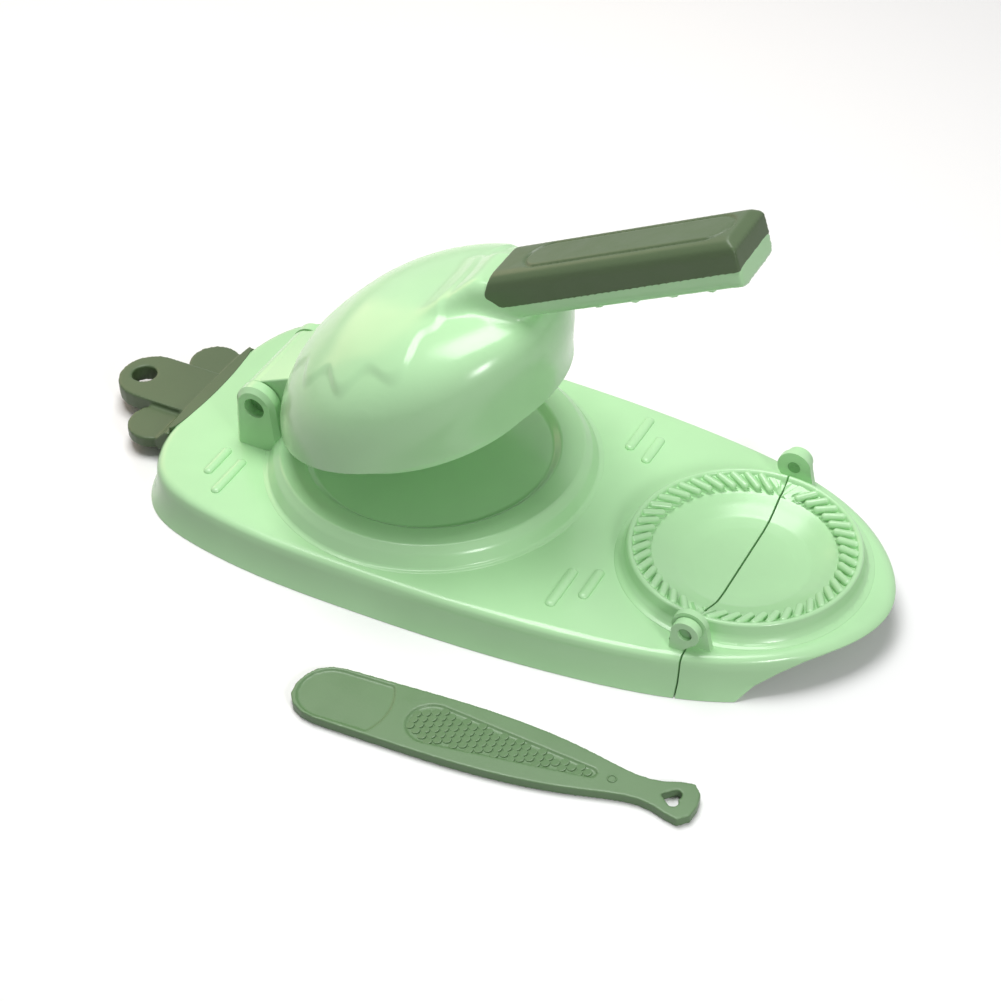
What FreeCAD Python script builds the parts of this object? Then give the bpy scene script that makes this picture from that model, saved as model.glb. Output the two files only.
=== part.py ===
import FreeCAD, Part
import math
import os
from FreeCAD import Vector

# Two-in-one dumpling press: a board with a round press well and a hinged folding mould.
# Frame: origin on the table under the middle of the well, +X to the mould, +Y to the back, +Z up.
# Lengths are in millimetres and angles in degrees.

# Driving dimensions: the moulded walls and clearances
wall = 2.4
seat_gap = 0.05
leaf_gap = 0.15
running_gap = 0.1
side_gap = 0.4
seam_gap = 0.7
swing_gap = 0.5
hair = 0.01
slot_steps = 10
hollow_sides = 16

# Driving dimensions: the board
board_height = 16.6
skirt_flare = 3.5
top_edge_inset = 4.2
skirt_waist = 0.66
skirt_hollow = 0.26
edge_share = 0.13
board_margin = 6.0
tail_length = 40.6
tail_flat = 30.0
tail_bow = 1.5
tail_corner_reach = 13.0
tail_corner_width = 15.5
flank_inset = 4.5
shoulder_margin = 3.6
shoulder_share = 0.7
cheek_share = 0.42
cheek_inset = 7.0
lip_share = 1.1
lip_inset = 31.5
tip_length = 14.3
tip_lift = 14.0
tip_lift_start = 18.0
tip_lift_run = 28.0
scoop_shares = (0.25, 0.5, 0.75, 1.0)

# Driving dimensions: the press well
platform_radius = 60.0
platform_rise = 8.0
platform_slope = 5.0
bed_radius = 47.5
bed_wall_slope = 2.5
bed_depth = 2.6
foot_radius = 5.0
shoulder_round = 1.6
rib_count = 6
rib_bottom = 3.0

# Driving dimensions: the lid hinge
lid_open_angle = 17.6
hinge_reach = 6.8
hinge_height = 11.8
ear_radius = 9.0
ear_thickness = 6.0
ear_gap_half = 19.0
ear_foot_flare = 1.5
ear_edge_round = 1.8
knuckle_radius = 8.7
lid_bore_radius = 4.5
lid_pin_length = 12.0
lid_pin_recess = 4.5
lid_pin_room = 1.0
web_length = 14.0
web_lift = 1.0

# Driving dimensions: the press lid, given with the lid shut
rim_radius = 58.6
rim_lift = 7.7
dome_height = 44.0
dome_power = 2.8
dome_lean = 20.0
dome_lean_share = 0.8
dome_lean_power = 1.3
dome_steps = 7
dome_sides = 60
dome_inner_steps = 4
dome_crown_angle = 84.0
plate_press_radius = 45.0
dough_gap = 0.8
plate_inset = 0.8
plate_recess = 0.4

# Driving dimensions: the handle, given with the lid shut
handle_start = 48.0
handle_end = 154.0
handle_top = 53.9
handle_slope = 7.6
handle_width = 26.0
handle_depth = 18.7
handle_corner = 5.0
corner_steps = 3
handle_end_chamfer = 3.5
neck_start = 4.0
neck_width = 64.0
neck_depth = 25.5
neck_taper = 0.72
neck_drop = 5.5
neck_rise = 1.0
cover_front_top = 54.0
cover_front_bottom = 46.5
cover_front_depth = 14.0
cover_back_depth = 9.4
panel_half_width = 8.4
panel_groove = 1.1
panel_groove_depth = 0.6
panel_margin = 10.0
grip_count = 4
grip_pitch = 15.2
grip_start = 93.0
grip_radius = 3.0
grip_rise = 1.4

# Driving dimensions: the folding mould
mould_spacing = 19.0
mould_radius = 43.5
mould_rise = 8.0
mould_foot = 4.0
rim_width = 1.9
shelf_width = 7.5
shelf_drop = 4.2
bowl_flat_radius = 22.0
bowl_depth = 9.4
rope_count = 24
rope_twist = 9.0
rope_sink = 0.4
rope_groove = 2.0
rope_fall = 1.8
bowl_round = 2.0
flap_ear_radius = 6.8
flap_ear_thickness = 2.6
flap_ear_flare = 2.0
clip_radius = 5.4
clip_foot_flare = 0.6
clip_lean = 0.6
clip_chin = 0.8
clip_thickness = 3.6
flap_pin_radius = 2.6
flap_pin_recess = 1.2
slot_length = 7.5

# Driving dimensions: the leaf tab
leaf_bottom = 4.5
leaf_top = 12.0
side_lobe_top = 9.6
leaf_length = 42.3
leaf_radius = 14.0
side_lobe_radius = 11.0
side_lobe_reach = 12.0
side_lobe_spread = 22.5
hang_hole_radius = 5.2
hang_hole_margin = 10.3
root_half_width = 32.0
root_depth = 5.0
root_top = 14.8
tongue_half_width = 14.0
tongue_height = 3.0
tongue_length = 10.0
tongue_room = 1.0

# Driving dimensions: the filling spoon, which lies on the table in front of the board
spoon_start_x = 8.7
spoon_start_y = -118.6
spoon_turn = 4.3
spoon_length = 152.5
spoon_width = 26.6
spoon_thickness = 3.8
spoon_sides = 64
spoon_nose_length = 6.5
spoon_nose_half_width = 11.4
spoon_shoulder = 19.0
spoon_waist_start = 0.6
spoon_waist_middle = 0.72
spoon_waist_inset = 4.0
spoon_neck_length = 28.0
spoon_neck_half_width = 6.0
spoon_heel_length = 3.0
spoon_heel_half_width = 8.4
pad_depth = 0.7
pad_margin = 1.5
pad_end = 37.0
pad_bow = 22.0
spoon_panel_start = 53.5
spoon_panel_end = 0.745
spoon_panel_radius = 9.3
spoon_panel_tip_radius = 2.2
spoon_panel_depth = 0.8
heart_margin = 8.4
heart_length = 4.2
heart_lobe_spread = 1.7
heart_lobe_radius = 2.1
heart_tip_radius = 0.5

# Places that follow from the driving dimensions
UP = Vector(0, 0, 1)
BACK = Vector(0, 1, 0)
platform_top = board_height + platform_rise
platform_foot = platform_radius + platform_slope
board_half_width = platform_foot + board_margin
bed_top = platform_top - bed_depth
hinge_x = -rim_radius - hinge_reach
hinge_z = platform_top + hinge_height
tail_x = hinge_x - tail_length
rim_z = platform_top + rim_lift
plate_flange = rim_radius - wall - plate_inset
mould_top = board_height + mould_rise
mould_outer = mould_radius + mould_foot
mould_x = platform_foot + mould_spacing + mould_outer
fold_z = mould_top + swing_gap / 2
rim_inner = mould_radius - rim_width
shelf_inner = rim_inner - shelf_width
shelf_z = mould_top - shelf_drop
bowl_z = mould_top - bowl_depth
bowl_middle = (bowl_flat_radius + shelf_inner) / 2
flap_ear_y = mould_outer + side_gap
clip_y = flap_ear_y + flap_ear_thickness + side_gap
clip_outer = clip_y + clip_thickness
seam_half_width = clip_outer + shoulder_margin
tip_x = mould_x + mould_radius + tip_length
tongue_low = (leaf_bottom + side_lobe_top - tongue_height) / 2


def loop_spacing(points):
    """How far along the loop each point lies, with the full length at the end."""
    spacing = [0.0]
    for index, point in enumerate(points):
        ahead = points[(index + 1) % len(points)]
        spacing.append(spacing[-1] + point.distanceToPoint(ahead))
    return spacing


def smooth_loop(points, spacing):
    """A closed smooth wire through the points; loops of one spacing loft into a clean surface."""
    curve = Part.BSplineCurve()
    curve.interpolate(Points=points, PeriodicFlag=True, Parameters=spacing)
    return Part.Wire([curve.toShape()])


def polygon_edges(points):
    """Straight edges that join the points in turn."""
    return [Part.makeLine(a, b) for a, b in zip(points, points[1:])]


def face_of(edges):
    """A flat face inside the edges."""
    return Part.Face(Part.Wire(Part.__sortEdges__(edges)))


def prism_y(points, y_low, y_high):
    """A prism along Y over an outline of (x, z) points."""
    corners = [Vector(x, y_low, z) for x, z in points]
    face = face_of(polygon_edges(corners + corners[:1]))
    return face.extrude(Vector(0, y_high - y_low, 0))


def cylinder_y(x, z, radius, y_low, y_high):
    return Part.makeCylinder(radius, y_high - y_low, Vector(x, y_low, z), BACK)


def box(x_low, x_high, y_low, y_high, z_low, z_high):
    corner = Vector(x_low, y_low, z_low)
    return Part.makeBox(x_high - x_low, y_high - y_low, z_high - z_low, corner)


def prism_z(points, z_low, z_high):
    """An upright prism over an outline of (x, y) points."""
    corners = [Vector(x, y, z_low) for x, y in points]
    return Part.Face(Part.makePolygon(corners + corners[:1])).extrude(UP * (z_high - z_low))


def slot_z(x_a, y_a, x_b, y_b, radius, z_low, z_high, far_radius=None):
    """A round-ended bar between two points of a plan; its far end may have a radius of its own."""
    heading = math.atan2(y_b - y_a, x_b - x_a)
    outline = []
    for x, y, first, reach in ((x_b, y_b, -90.0, far_radius or radius), (x_a, y_a, 90.0, radius)):
        for step in range(slot_steps + 1):
            turn = heading + math.radians(first + 180.0 * step / slot_steps)
            outline.append((x + reach * math.cos(turn), y + reach * math.sin(turn)))
    return prism_z(outline, z_low, z_high)


def both_sides(shape):
    """The shape and its mirror image across the middle plane."""
    return [shape, shape.mirror(Vector(0, 0, 0), BACK)]


def turned_lid(shape):
    """A lid piece modelled shut, swung open to its rest angle."""
    copy = shape.copy()
    copy.rotate(Vector(hinge_x, 0, hinge_z), BACK, -lid_open_angle)
    return copy


# The board's shell
def outline_points(grow):
    """Half of the board's plan, from tail to tip, moved outwards by grow."""
    half = [
        Vector(tail_x, 0, 0),
        Vector(tail_x + tail_bow, tail_flat, 0),
        Vector(tail_x + tail_corner_reach, board_half_width - tail_corner_width, 0),
        Vector(hinge_x, board_half_width - flank_inset, 0),
        Vector(0, board_half_width, 0),
        Vector(mould_x - mould_radius * shoulder_share, (board_half_width + seam_half_width) / 2, 0),
        Vector(mould_x + mould_radius * cheek_share, seam_half_width - cheek_inset, 0),
        Vector(mould_x + mould_radius * lip_share, seam_half_width - lip_inset, 0),
        Vector(tip_x, 0, 0),
    ]
    loop = half + [Vector(p.x, -p.y, 0) for p in reversed(half[1:-1])]
    moved = []
    for index, point in enumerate(loop):
        ahead = loop[(index + 1) % len(loop)]
        behind = loop[index - 1]
        tangent = ahead.sub(behind).normalize()
        moved.append(point + Vector(-tangent.y, tangent.x, 0) * grow)
    return moved


def outline_wire(z, grow):
    points = [Vector(p.x, p.y, z) for p in outline_points(grow)]
    return smooth_loop(points, loop_spacing(outline_points(0)))


def board_block(grow, top):
    """The board's outer form: a flared skirt, a short upright wall and a rounded top edge."""
    steps = [
        (0.0, skirt_flare),
        (board_height * skirt_waist / 2, skirt_flare * skirt_hollow),
        (board_height * skirt_waist, 0.0),
        (top - top_edge_inset / 2, -top_edge_inset * edge_share),
        (top - top_edge_inset * edge_share, -top_edge_inset / 2),
        (top, -top_edge_inset),
    ]
    return Part.makeLoft([outline_wire(z, grow + step) for z, step in steps], True, True)


def board_hollow():
    """The flat-sided space under the board, one wall inside its outer form."""
    rings = []
    for z, grow in ((-wall, skirt_flare), (board_height - wall, -top_edge_inset / 2)):
        rings.append(outline_wire(z, grow - wall).discretize(hollow_sides * 2 + 1)[:-1])
    return flat_solid(rings)


def turned_profile(points, x):
    """A full turn of an outline of (radius, z) points about an upright axis at x."""
    corners = [Vector(x, radius, z) for radius, z in points]
    return face_of(polygon_edges(corners + corners[:1])).revolve(Vector(x, 0, 0), UP, 360)


def flat_solid(rings):
    """A solid with flat faces between rings of points, which all have the same number of points."""
    caps = (rings[0][::-1], rings[-1])
    faces = [Part.Face(Part.makePolygon(ring + ring[:1])) for ring in caps]
    for low, high in zip(rings, rings[1:]):
        for k in range(len(low)):
            ahead = (k + 1) % len(low)
            faces.append(Part.Face(Part.makePolygon([low[k], low[ahead], high[ahead], low[k]])))
            faces.append(Part.Face(Part.makePolygon([low[k], high[ahead], high[k], low[k]])))
    solid = Part.makeSolid(Part.makeShell(faces))
    if solid.Volume < 0:
        solid.reverse()
    return solid


def sided_solid(levels, sides):
    """A solid of flat faces around circles given as (x, radius, z)."""
    turns = [2 * math.pi * k / sides for k in range(sides)]
    rings = []
    for x, radius, z in levels:
        reach = radius / math.cos(math.pi / sides)
        rings.append([Vector(x + reach * math.cos(t), reach * math.sin(t), z) for t in turns])
    return flat_solid(rings)


def well_platform():
    """The raised round platform of the press well."""
    return turned_profile([
        (0, board_height - wall / 2),
        (platform_foot, board_height - wall / 2),
        (platform_foot, board_height),
        (platform_radius + shoulder_round, platform_top - shoulder_round),
        (platform_radius - shoulder_round / 2, platform_top),
        (0, platform_top),
    ], 0)


def well_bed():
    """The shallow recess for the dough wrapper."""
    return turned_profile([
        (0, bed_top),
        (bed_radius, bed_top),
        (bed_radius + bed_wall_slope, platform_top),
        (bed_radius + bed_wall_slope, platform_top + wall),
        (0, platform_top + wall),
    ], 0)


def mould_ring():
    """The raised round block of the folding mould, before it is parted at the seam."""
    return turned_profile([
        (0, board_height - wall / 2),
        (mould_outer, board_height - wall / 2),
        (mould_outer, board_height),
        (mould_radius + mould_foot / 4, board_height + mould_rise / 4),
        (mould_radius, mould_top),
        (0, mould_top),
    ], mould_x)


def mould_bowl():
    """The hollow that shapes the dumpling: a rope shelf around a shallow bowl."""
    return turned_profile([
        (0, bowl_z),
        (bowl_flat_radius, bowl_z),
        (bowl_middle, bowl_z + bowl_round),
        (shelf_inner, shelf_z),
        (rim_inner, shelf_z),
        (rim_inner, mould_top + wall),
        (0, mould_top + wall),
    ], mould_x)


def under_space():
    """The hollow under the board, the platform and the mould, with a wall left on both sides of the seam."""
    low = board_height - wall
    roof = shelf_z - wall
    platform_space = sided_solid([
        (0, platform_foot - wall, low - wall),
        (0, platform_foot - wall, low),
        (0, platform_radius - wall, bed_top - wall),
    ], hollow_sides)
    pocket_radius = mould_radius - wall
    pocket_levels = [(mould_x, pocket_radius, low - wall), (mould_x, pocket_radius, roof)]
    pocket = sided_solid(pocket_levels, hollow_sides)
    core = sided_solid([
        (mould_x, bowl_middle, low - wall * 2),
        (mould_x, bowl_middle, low),
        (mould_x, shelf_inner + wall, roof + wall),
    ], hollow_sides)
    seam_wall = seam_gap / 2 + wall
    reach = board_half_width * 2
    seam_box = box(mould_x - seam_wall, mould_x + seam_wall, -reach, reach, -reach, reach)
    return board_hollow().fuse([platform_space, pocket.cut(core)]).cut(seam_box)


def board_form():
    """The whole board with well and mould, before it is parted at the seam."""
    body = board_block(0, board_height).fuse([well_platform(), mould_ring()])
    boss = sided_solid([
        (mould_x, bowl_flat_radius, bowl_z - wall),
        (mould_x, bowl_middle, board_height - wall / 2),
    ], hollow_sides)
    return body.cut(under_space()).fuse(boss).cut([well_bed(), mould_bowl()])


def rope_station(angle, twist, drop):
    """The section of the crimping rope along one slanted line, from the shelf's edge to the rim."""
    middle = Vector(mould_x, 0, 0)
    inner = FreeCAD.Rotation(UP, angle + twist).multVec(Vector(shelf_inner + rope_sink, 0, 0)) + middle
    outer = FreeCAD.Rotation(UP, angle).multVec(Vector(rim_inner + rope_sink, 0, 0)) + middle
    base = UP * (shelf_z - rope_sink)
    top = UP * mould_top
    return [inner + base, inner + UP * (mould_top - drop), outer + top, outer + base]


def rope_ring(middle, twist, shift):
    """A half ring of slanted strands that falls from the rim to the bowl; the seam trims its ends."""
    pitch = 180.0 / rope_count
    stations = []
    for k in range(-1, rope_count + 1):
        crest = middle - 90.0 + pitch * (k + 0.5 + shift)
        stations.append(rope_station(crest, twist, rope_fall))
        stations.append(rope_station(crest + pitch / 2, twist, rope_fall + rope_groove))
    return flat_solid(stations)


def hinge_ear():
    """The ear on the board's front side that carries one end of the lid."""
    half_foot = ear_radius + ear_foot_flare
    foot_z = board_height - wall / 2
    left = Vector(hinge_x - ear_radius, -ear_gap_half, hinge_z)
    right = Vector(hinge_x + ear_radius, -ear_gap_half, hinge_z)
    crown = Vector(hinge_x, -ear_gap_half, hinge_z + ear_radius)
    foot = [right, Vector(hinge_x + half_foot, -ear_gap_half, foot_z)]
    foot += [Vector(hinge_x - half_foot, -ear_gap_half, foot_z), left]
    face = face_of([Part.Arc(left, crown, right).toShape()] + polygon_edges(foot))
    ear = face.extrude(Vector(0, -ear_thickness, 0))
    outer = -ear_gap_half - ear_thickness
    rounded = [
        e for e in ear.Edges
        if max(abs(v.Y - outer) for v in e.Vertexes) < hair and max(v.Z for v in e.Vertexes) > board_height
    ]
    return ear.makeChamfer(ear_edge_round, rounded)


def mould_clip():
    """The round clip on the board that holds the flap's pin, just left of the seam below the pin."""
    disc = cylinder_y(mould_x, fold_z, clip_radius, -clip_outer, -clip_y)
    foot_z = board_height - wall / 2
    foot = [
        (mould_x - clip_radius - clip_foot_flare, foot_z),
        (mould_x - seam_gap, foot_z),
        (mould_x - seam_gap, board_height + seam_gap / 2),
        (mould_x + clip_radius * clip_lean, fold_z - clip_radius * clip_chin),
        (mould_x, fold_z),
        (mould_x - clip_radius, fold_z),
    ]
    return disc.fuse(prism_y(foot, -clip_outer, -clip_y))


def support_ribs():
    """The post and spokes under the well that carry the pressing load to the table."""
    top = bed_top - wall / 2
    post = Part.makeCylinder(foot_radius, top)
    spoke = box(foot_radius / 2, platform_radius - wall * 2, -wall / 2, wall / 2, rib_bottom, top)
    spokes = []
    for k in range(rib_count):
        turned = spoke.copy()
        turned.rotate(Vector(0, 0, 0), UP, 360.0 / rib_count * (k + 0.5))
        spokes.append(turned)
    return [post] + spokes


def parted(shape, sign):
    """The part of a shape on one side of the seam: -1 the board's side, +1 the flap's."""
    reach = tip_x - tail_x
    edge = mould_x + sign * seam_gap / 2
    low, high = sorted((edge, edge - sign * reach))
    return shape.cut(box(low, high, -reach, reach, -reach, reach))


def base_board(form):
    """The board with well, left mould half, lid ears and flap clips."""
    rope = parted(rope_ring(180.0, -rope_twist, 0.5), -1)
    extras = [rope] + support_ribs() + both_sides(hinge_ear()) + both_sides(mould_clip())
    body = parted(form, -1).fuse(extras)
    lid_reach = ear_gap_half + ear_thickness + wall
    body = body.cut(cylinder_y(hinge_x, hinge_z, lid_bore_radius, -lid_reach, lid_reach))
    flap_reach = clip_outer + wall
    body = body.cut(cylinder_y(mould_x, fold_z, flap_pin_radius, -flap_reach, flap_reach))
    slot = box(
        mould_x - slot_length, mould_x, flap_ear_y - side_gap, clip_y,
        board_height - wall * 2, board_height + wall)
    body = body.cut(both_sides(slot))
    mouth = tongue_half_width + seat_gap
    return body.cut(box(
        tail_x - skirt_flare * 2, tail_x + tongue_length, -mouth, mouth,
        tongue_low - seat_gap, tongue_low + tongue_height + seat_gap))


def flap_ear():
    """The flap's front ear: a round plate that turns just inside the clip."""
    plate = cylinder_y(mould_x, fold_z, flap_ear_radius, -flap_ear_y - flap_ear_thickness, -flap_ear_y)
    foot_z = board_height - wall / 2
    foot = [
        (mould_x + seam_gap / 2, foot_z),
        (mould_x + flap_ear_radius + flap_ear_flare, foot_z),
        (mould_x + flap_ear_radius, fold_z),
        (mould_x + seam_gap / 2, fold_z),
    ]
    return plate.fuse(prism_y(foot, -flap_ear_y - flap_ear_thickness, -flap_ear_y))


def mould_flap(form):
    """The board's tip with the right mould half, which folds over onto the left one."""
    rope = parted(rope_ring(0.0, rope_twist, 0.0), 1)
    body = parted(form, 1).fuse([rope] + both_sides(flap_ear()))
    lift_x = mould_x + tip_lift_start
    beyond = tip_x + tip_length
    scoop = [(lift_x, -wall)]
    for share in scoop_shares:
        rise = tip_lift * math.sin(math.pi / 2 * share)
        scoop.append((lift_x + tip_lift_run * share, rise))
    scoop += [(beyond, tip_lift), (beyond, -wall)]
    body = body.cut(prism_y(scoop, -board_half_width, board_half_width))
    bore = flap_pin_radius - running_gap + seat_gap
    body = body.cut(cylinder_y(mould_x, fold_z, bore, -clip_y, -mould_radius))
    return body.cut(cylinder_y(mould_x, fold_z, bore, mould_radius, clip_y))


# The lid, modelled shut and then swung open
def dome_point(inset, share):
    """Radius and height of the dome's super-ellipse, share of the way from rim to crown."""
    turn = math.radians(dome_crown_angle) * share
    radius = (rim_radius - inset) * math.cos(turn) ** (2 / dome_power)
    height = (dome_height - inset) * math.sin(turn) ** (2 / dome_power)
    return radius, height


def dome_shift(height):
    """How far the dome leans towards the handle at a height above its rim; the crown is upright."""
    share = min(1.0, height / (dome_height * dome_lean_share))
    return dome_lean * share ** dome_lean_power


def dome_levels(inset, steps):
    """Circles up the dome as (x, radius, z)."""
    levels = []
    for k in range(steps + 1):
        radius, height = dome_point(inset, k / steps)
        levels.append((dome_shift(height), radius, rim_z + height))
    return levels


def dome_hollow():
    """The space inside the dome above the press plate, one wall in, which is never seen."""
    floor = plate_recess + wall
    levels = dome_levels(wall, dome_inner_steps)
    levels[0] = (dome_shift(floor), rim_radius - wall, rim_z + floor)
    return sided_solid(levels, hollow_sides)


def handle_line(x):
    """Height of the handle's top above the table at x, with the lid shut."""
    return rim_z + handle_top + math.tan(math.radians(handle_slope)) * (x - handle_start)


def handle_section(x, top, width, depth):
    """The corners of a rounded rectangle across the handle, hung from its top line."""
    half = width / 2 - handle_corner
    deep = depth - handle_corner
    lean = math.tan(math.radians(handle_slope))
    corners = [(half, deep, 0), (half, handle_corner, 90), (-half, handle_corner, 180), (-half, deep, 270)]
    ring = []
    for y, drop, first in corners:
        for step in range(corner_steps + 1):
            turn = math.radians(first + 90.0 * step / corner_steps)
            side = y + handle_corner * math.sin(turn)
            down = drop + handle_corner * math.cos(turn)
            ring.append(Vector(x + down * lean, side, top - down))
    return ring


def handle_bar():
    """The whole handle: a flared neck that grows out of the dome into an even bar."""
    dome_top = rim_z + dome_height
    middle = (neck_start + handle_start) / 2
    beyond = handle_end + handle_depth
    bar = flat_solid([
        handle_section(neck_start, dome_top - neck_drop, neck_width, neck_depth),
        handle_section(middle, dome_top + neck_rise, neck_width * neck_taper, neck_depth),
        handle_section(handle_start, handle_line(handle_start), handle_width, handle_depth),
        handle_section(beyond, handle_line(beyond), handle_width, handle_depth),
    ])
    top = handle_line(handle_end)
    brow = handle_end - handle_end_chamfer
    end_cut = prism_y([
        (brow, top + handle_depth),
        (brow, handle_line(brow)),
        (handle_end, top - handle_end_chamfer),
        (handle_end, top - handle_depth * 2),
        (beyond * 2, top - handle_depth * 2),
        (beyond * 2, top + handle_depth),
    ], -handle_width, handle_width)
    return bar.cut(end_cut)


def cover_space():
    """The space above the handle's parting line that the cover fills."""
    front_z = handle_line(cover_front_top)
    back_z = handle_line(handle_end)
    end_x = handle_end + handle_depth
    return prism_y([
        (cover_front_bottom, front_z - cover_front_depth),
        (cover_front_top, front_z),
        (cover_front_top, back_z + handle_depth),
        (end_x, back_z + handle_depth),
        (end_x, back_z - cover_back_depth),
    ], -handle_width, handle_width)


def handle_cover(bar):
    """The cover let into the handle's top, with a grooved stadium panel."""
    cover = bar.common(cover_space())
    start = cover_front_top + panel_margin
    finish = handle_end - panel_margin / 2
    reach = panel_half_width - panel_groove
    near = start + panel_half_width
    far = finish - panel_half_width
    outer = slot_z(near, 0, far, 0, panel_half_width, 0, handle_depth)
    inner = slot_z(near, 0, far, 0, reach, 0, handle_depth)
    groove = outer.cut(inner)
    groove.translate(Vector(-start, 0, 0))
    groove.rotate(Vector(0, 0, 0), BACK, -handle_slope)
    down = math.cos(math.radians(handle_slope)) * panel_groove_depth
    groove.translate(Vector(start, 0, handle_line(start) - down))
    return cover.cut(groove)


def grip_bumps():
    """The finger bumps across the underside of the handle."""
    bumps = []
    half = handle_width / 2 - handle_corner
    for k in range(grip_count):
        x = grip_start + k * grip_pitch
        z = handle_line(x) - handle_depth - grip_rise + grip_radius
        bumps.append(cylinder_y(x, z, grip_radius, -half, half))
    return bumps


def lid_knuckle():
    """The hinge barrel behind the dome and the block that joins them."""
    half = ear_gap_half - side_gap
    barrel = cylinder_y(hinge_x, hinge_z, knuckle_radius, -half, half)
    web_end = hinge_x + hinge_reach + web_length
    block = box(hinge_x, web_end, -half, half, rim_z + web_lift, hinge_z + knuckle_radius)
    return barrel.fuse(block)


def press_lid(bar):
    """The domed lid with its hinge barrel and the lower half of the handle, in one moulding."""
    dome = sided_solid(dome_levels(0, dome_steps), dome_sides)
    body = dome.fuse([lid_knuckle(), bar])
    seat = plate_recess + wall + seat_gap
    plate_bore = Part.makeCylinder(plate_flange + seat_gap, seat + wall, Vector(0, 0, rim_z - wall))
    body = body.cut(dome_hollow()).cut(plate_bore).cut(cover_space())
    body = body.fuse(grip_bumps())
    bore = lid_bore_radius - running_gap + seat_gap
    half = ear_gap_half
    depth = lid_pin_length - (ear_thickness - lid_pin_recess) + lid_pin_room
    body = body.cut(cylinder_y(hinge_x, hinge_z, bore, -half, -half + depth))
    body = body.cut(cylinder_y(hinge_x, hinge_z, bore, half - depth, half))
    return body


def press_plate():
    """The disc that closes the dome and flattens the dough: a flange inside the rim and a shallow cup."""
    bottom = bed_top + dough_gap
    inner = plate_press_radius - wall
    shelf = rim_z + plate_recess
    disc = turned_profile([
        (0, bottom),
        (plate_press_radius, bottom),
        (plate_press_radius, shelf),
        (plate_flange, shelf),
        (plate_flange, shelf + wall),
        (0, shelf + wall),
    ], 0)
    return disc.cut(sided_solid([(0, inner, bottom + wall), (0, inner, shelf + wall * 2)], hollow_sides))


def lid_pin():
    """The front stub pin of the lid hinge, set back from the face of its ear."""
    outer = -ear_gap_half - ear_thickness + lid_pin_recess
    return cylinder_y(hinge_x, hinge_z, lid_bore_radius - running_gap, outer, outer + lid_pin_length)


def flap_pin():
    """The front stub pin of the mould flap."""
    outer = -clip_outer + flap_pin_recess
    return cylinder_y(mould_x, fold_z, flap_pin_radius - running_gap, outer, -flap_ear_y)


# The leaf tab at the board's tail
def leaf_tab():
    """Three lobes like a carrot's leaves, with a hanging hole and a tongue that enters the board."""
    root_x = tail_x
    tip = tail_x - leaf_length + leaf_radius
    middle = slot_z(root_x, 0, tip, 0, leaf_radius, leaf_bottom, leaf_top)
    rear = slot_z(
        root_x, side_lobe_spread - side_lobe_reach, root_x - side_lobe_reach, side_lobe_spread,
        side_lobe_radius, leaf_bottom, side_lobe_top)
    lobes = [middle] + both_sides(rear)
    root = prism_y([
        (root_x - root_depth, leaf_bottom),
        (root_x - root_depth, side_lobe_top),
        (root_x, root_top),
        (root_x + root_depth, root_top),
        (root_x + root_depth, leaf_bottom),
    ], -root_half_width, root_half_width)
    body = lobes[0].fuse(lobes[1:] + [root])
    body = body.cut(board_block(leaf_gap, board_height + leaf_gap))
    hole_x = tail_x - leaf_length + hang_hole_margin
    body = body.cut(Part.makeCylinder(hang_hole_radius, leaf_top * 2, Vector(hole_x, 0, 0)))
    tongue = box(
        tail_x - root_depth, tail_x + tongue_length - tongue_room, -tongue_half_width, tongue_half_width,
        tongue_low, tongue_low + tongue_height)
    return body.fuse(tongue)


# The filling spoon, modelled along X and then laid in front of the board
def spoon_hole():
    """The heart-shaped hole in the spoon's heel: two round lobes that share a point towards the blade."""
    lobe_x = spoon_length - heart_margin
    return both_sides(slot_z(
        lobe_x - heart_length, 0, lobe_x, heart_lobe_spread,
        heart_tip_radius, -wall, spoon_thickness + wall, heart_lobe_radius))


def filling_spoon():
    half = spoon_width / 2
    neck = spoon_length - spoon_neck_length
    plan = [
        Vector(0, 0, 0),
        Vector(spoon_nose_length, spoon_nose_half_width, 0),
        Vector(spoon_shoulder, half, 0),
        Vector(spoon_length * spoon_waist_start, half - spoon_waist_inset / 4, 0),
        Vector(spoon_length * spoon_waist_middle, half - spoon_waist_inset, 0),
        Vector(neck, spoon_neck_half_width, 0),
        Vector(neck + spoon_neck_length / 2, spoon_neck_half_width, 0),
        Vector(spoon_length - spoon_heel_length, spoon_heel_half_width, 0),
        Vector(spoon_length, 0, 0),
    ]
    loop = plan + [Vector(p.x, -p.y, 0) for p in reversed(plan[1:-1])]
    edge = smooth_loop(loop, loop_spacing(loop)).discretize(spoon_sides + 1)[:-1]
    body = prism_z([(p.x, p.y) for p in edge], 0, spoon_thickness)
    above = spoon_thickness + wall
    pad_radius = half - pad_margin
    pad_floor = spoon_thickness - pad_depth
    pad = slot_z(pad_margin + pad_radius, 0, pad_end + pad_radius, 0, pad_radius, pad_floor, above)
    pad = pad.common(Part.makeCylinder(pad_bow, above, Vector(pad_end - pad_bow, 0, 0)))
    panel = slot_z(
        spoon_panel_start, 0, spoon_length * spoon_panel_end, 0,
        spoon_panel_radius, spoon_thickness - spoon_panel_depth, above, spoon_panel_tip_radius)
    body = body.cut([pad, panel] + spoon_hole())
    body.rotate(Vector(0, 0, 0), UP, spoon_turn)
    body.translate(Vector(spoon_start_x, spoon_start_y, 0))
    return body


def mirrored(shape):
    return shape.mirror(Vector(0, 0, 0), BACK)


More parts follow.
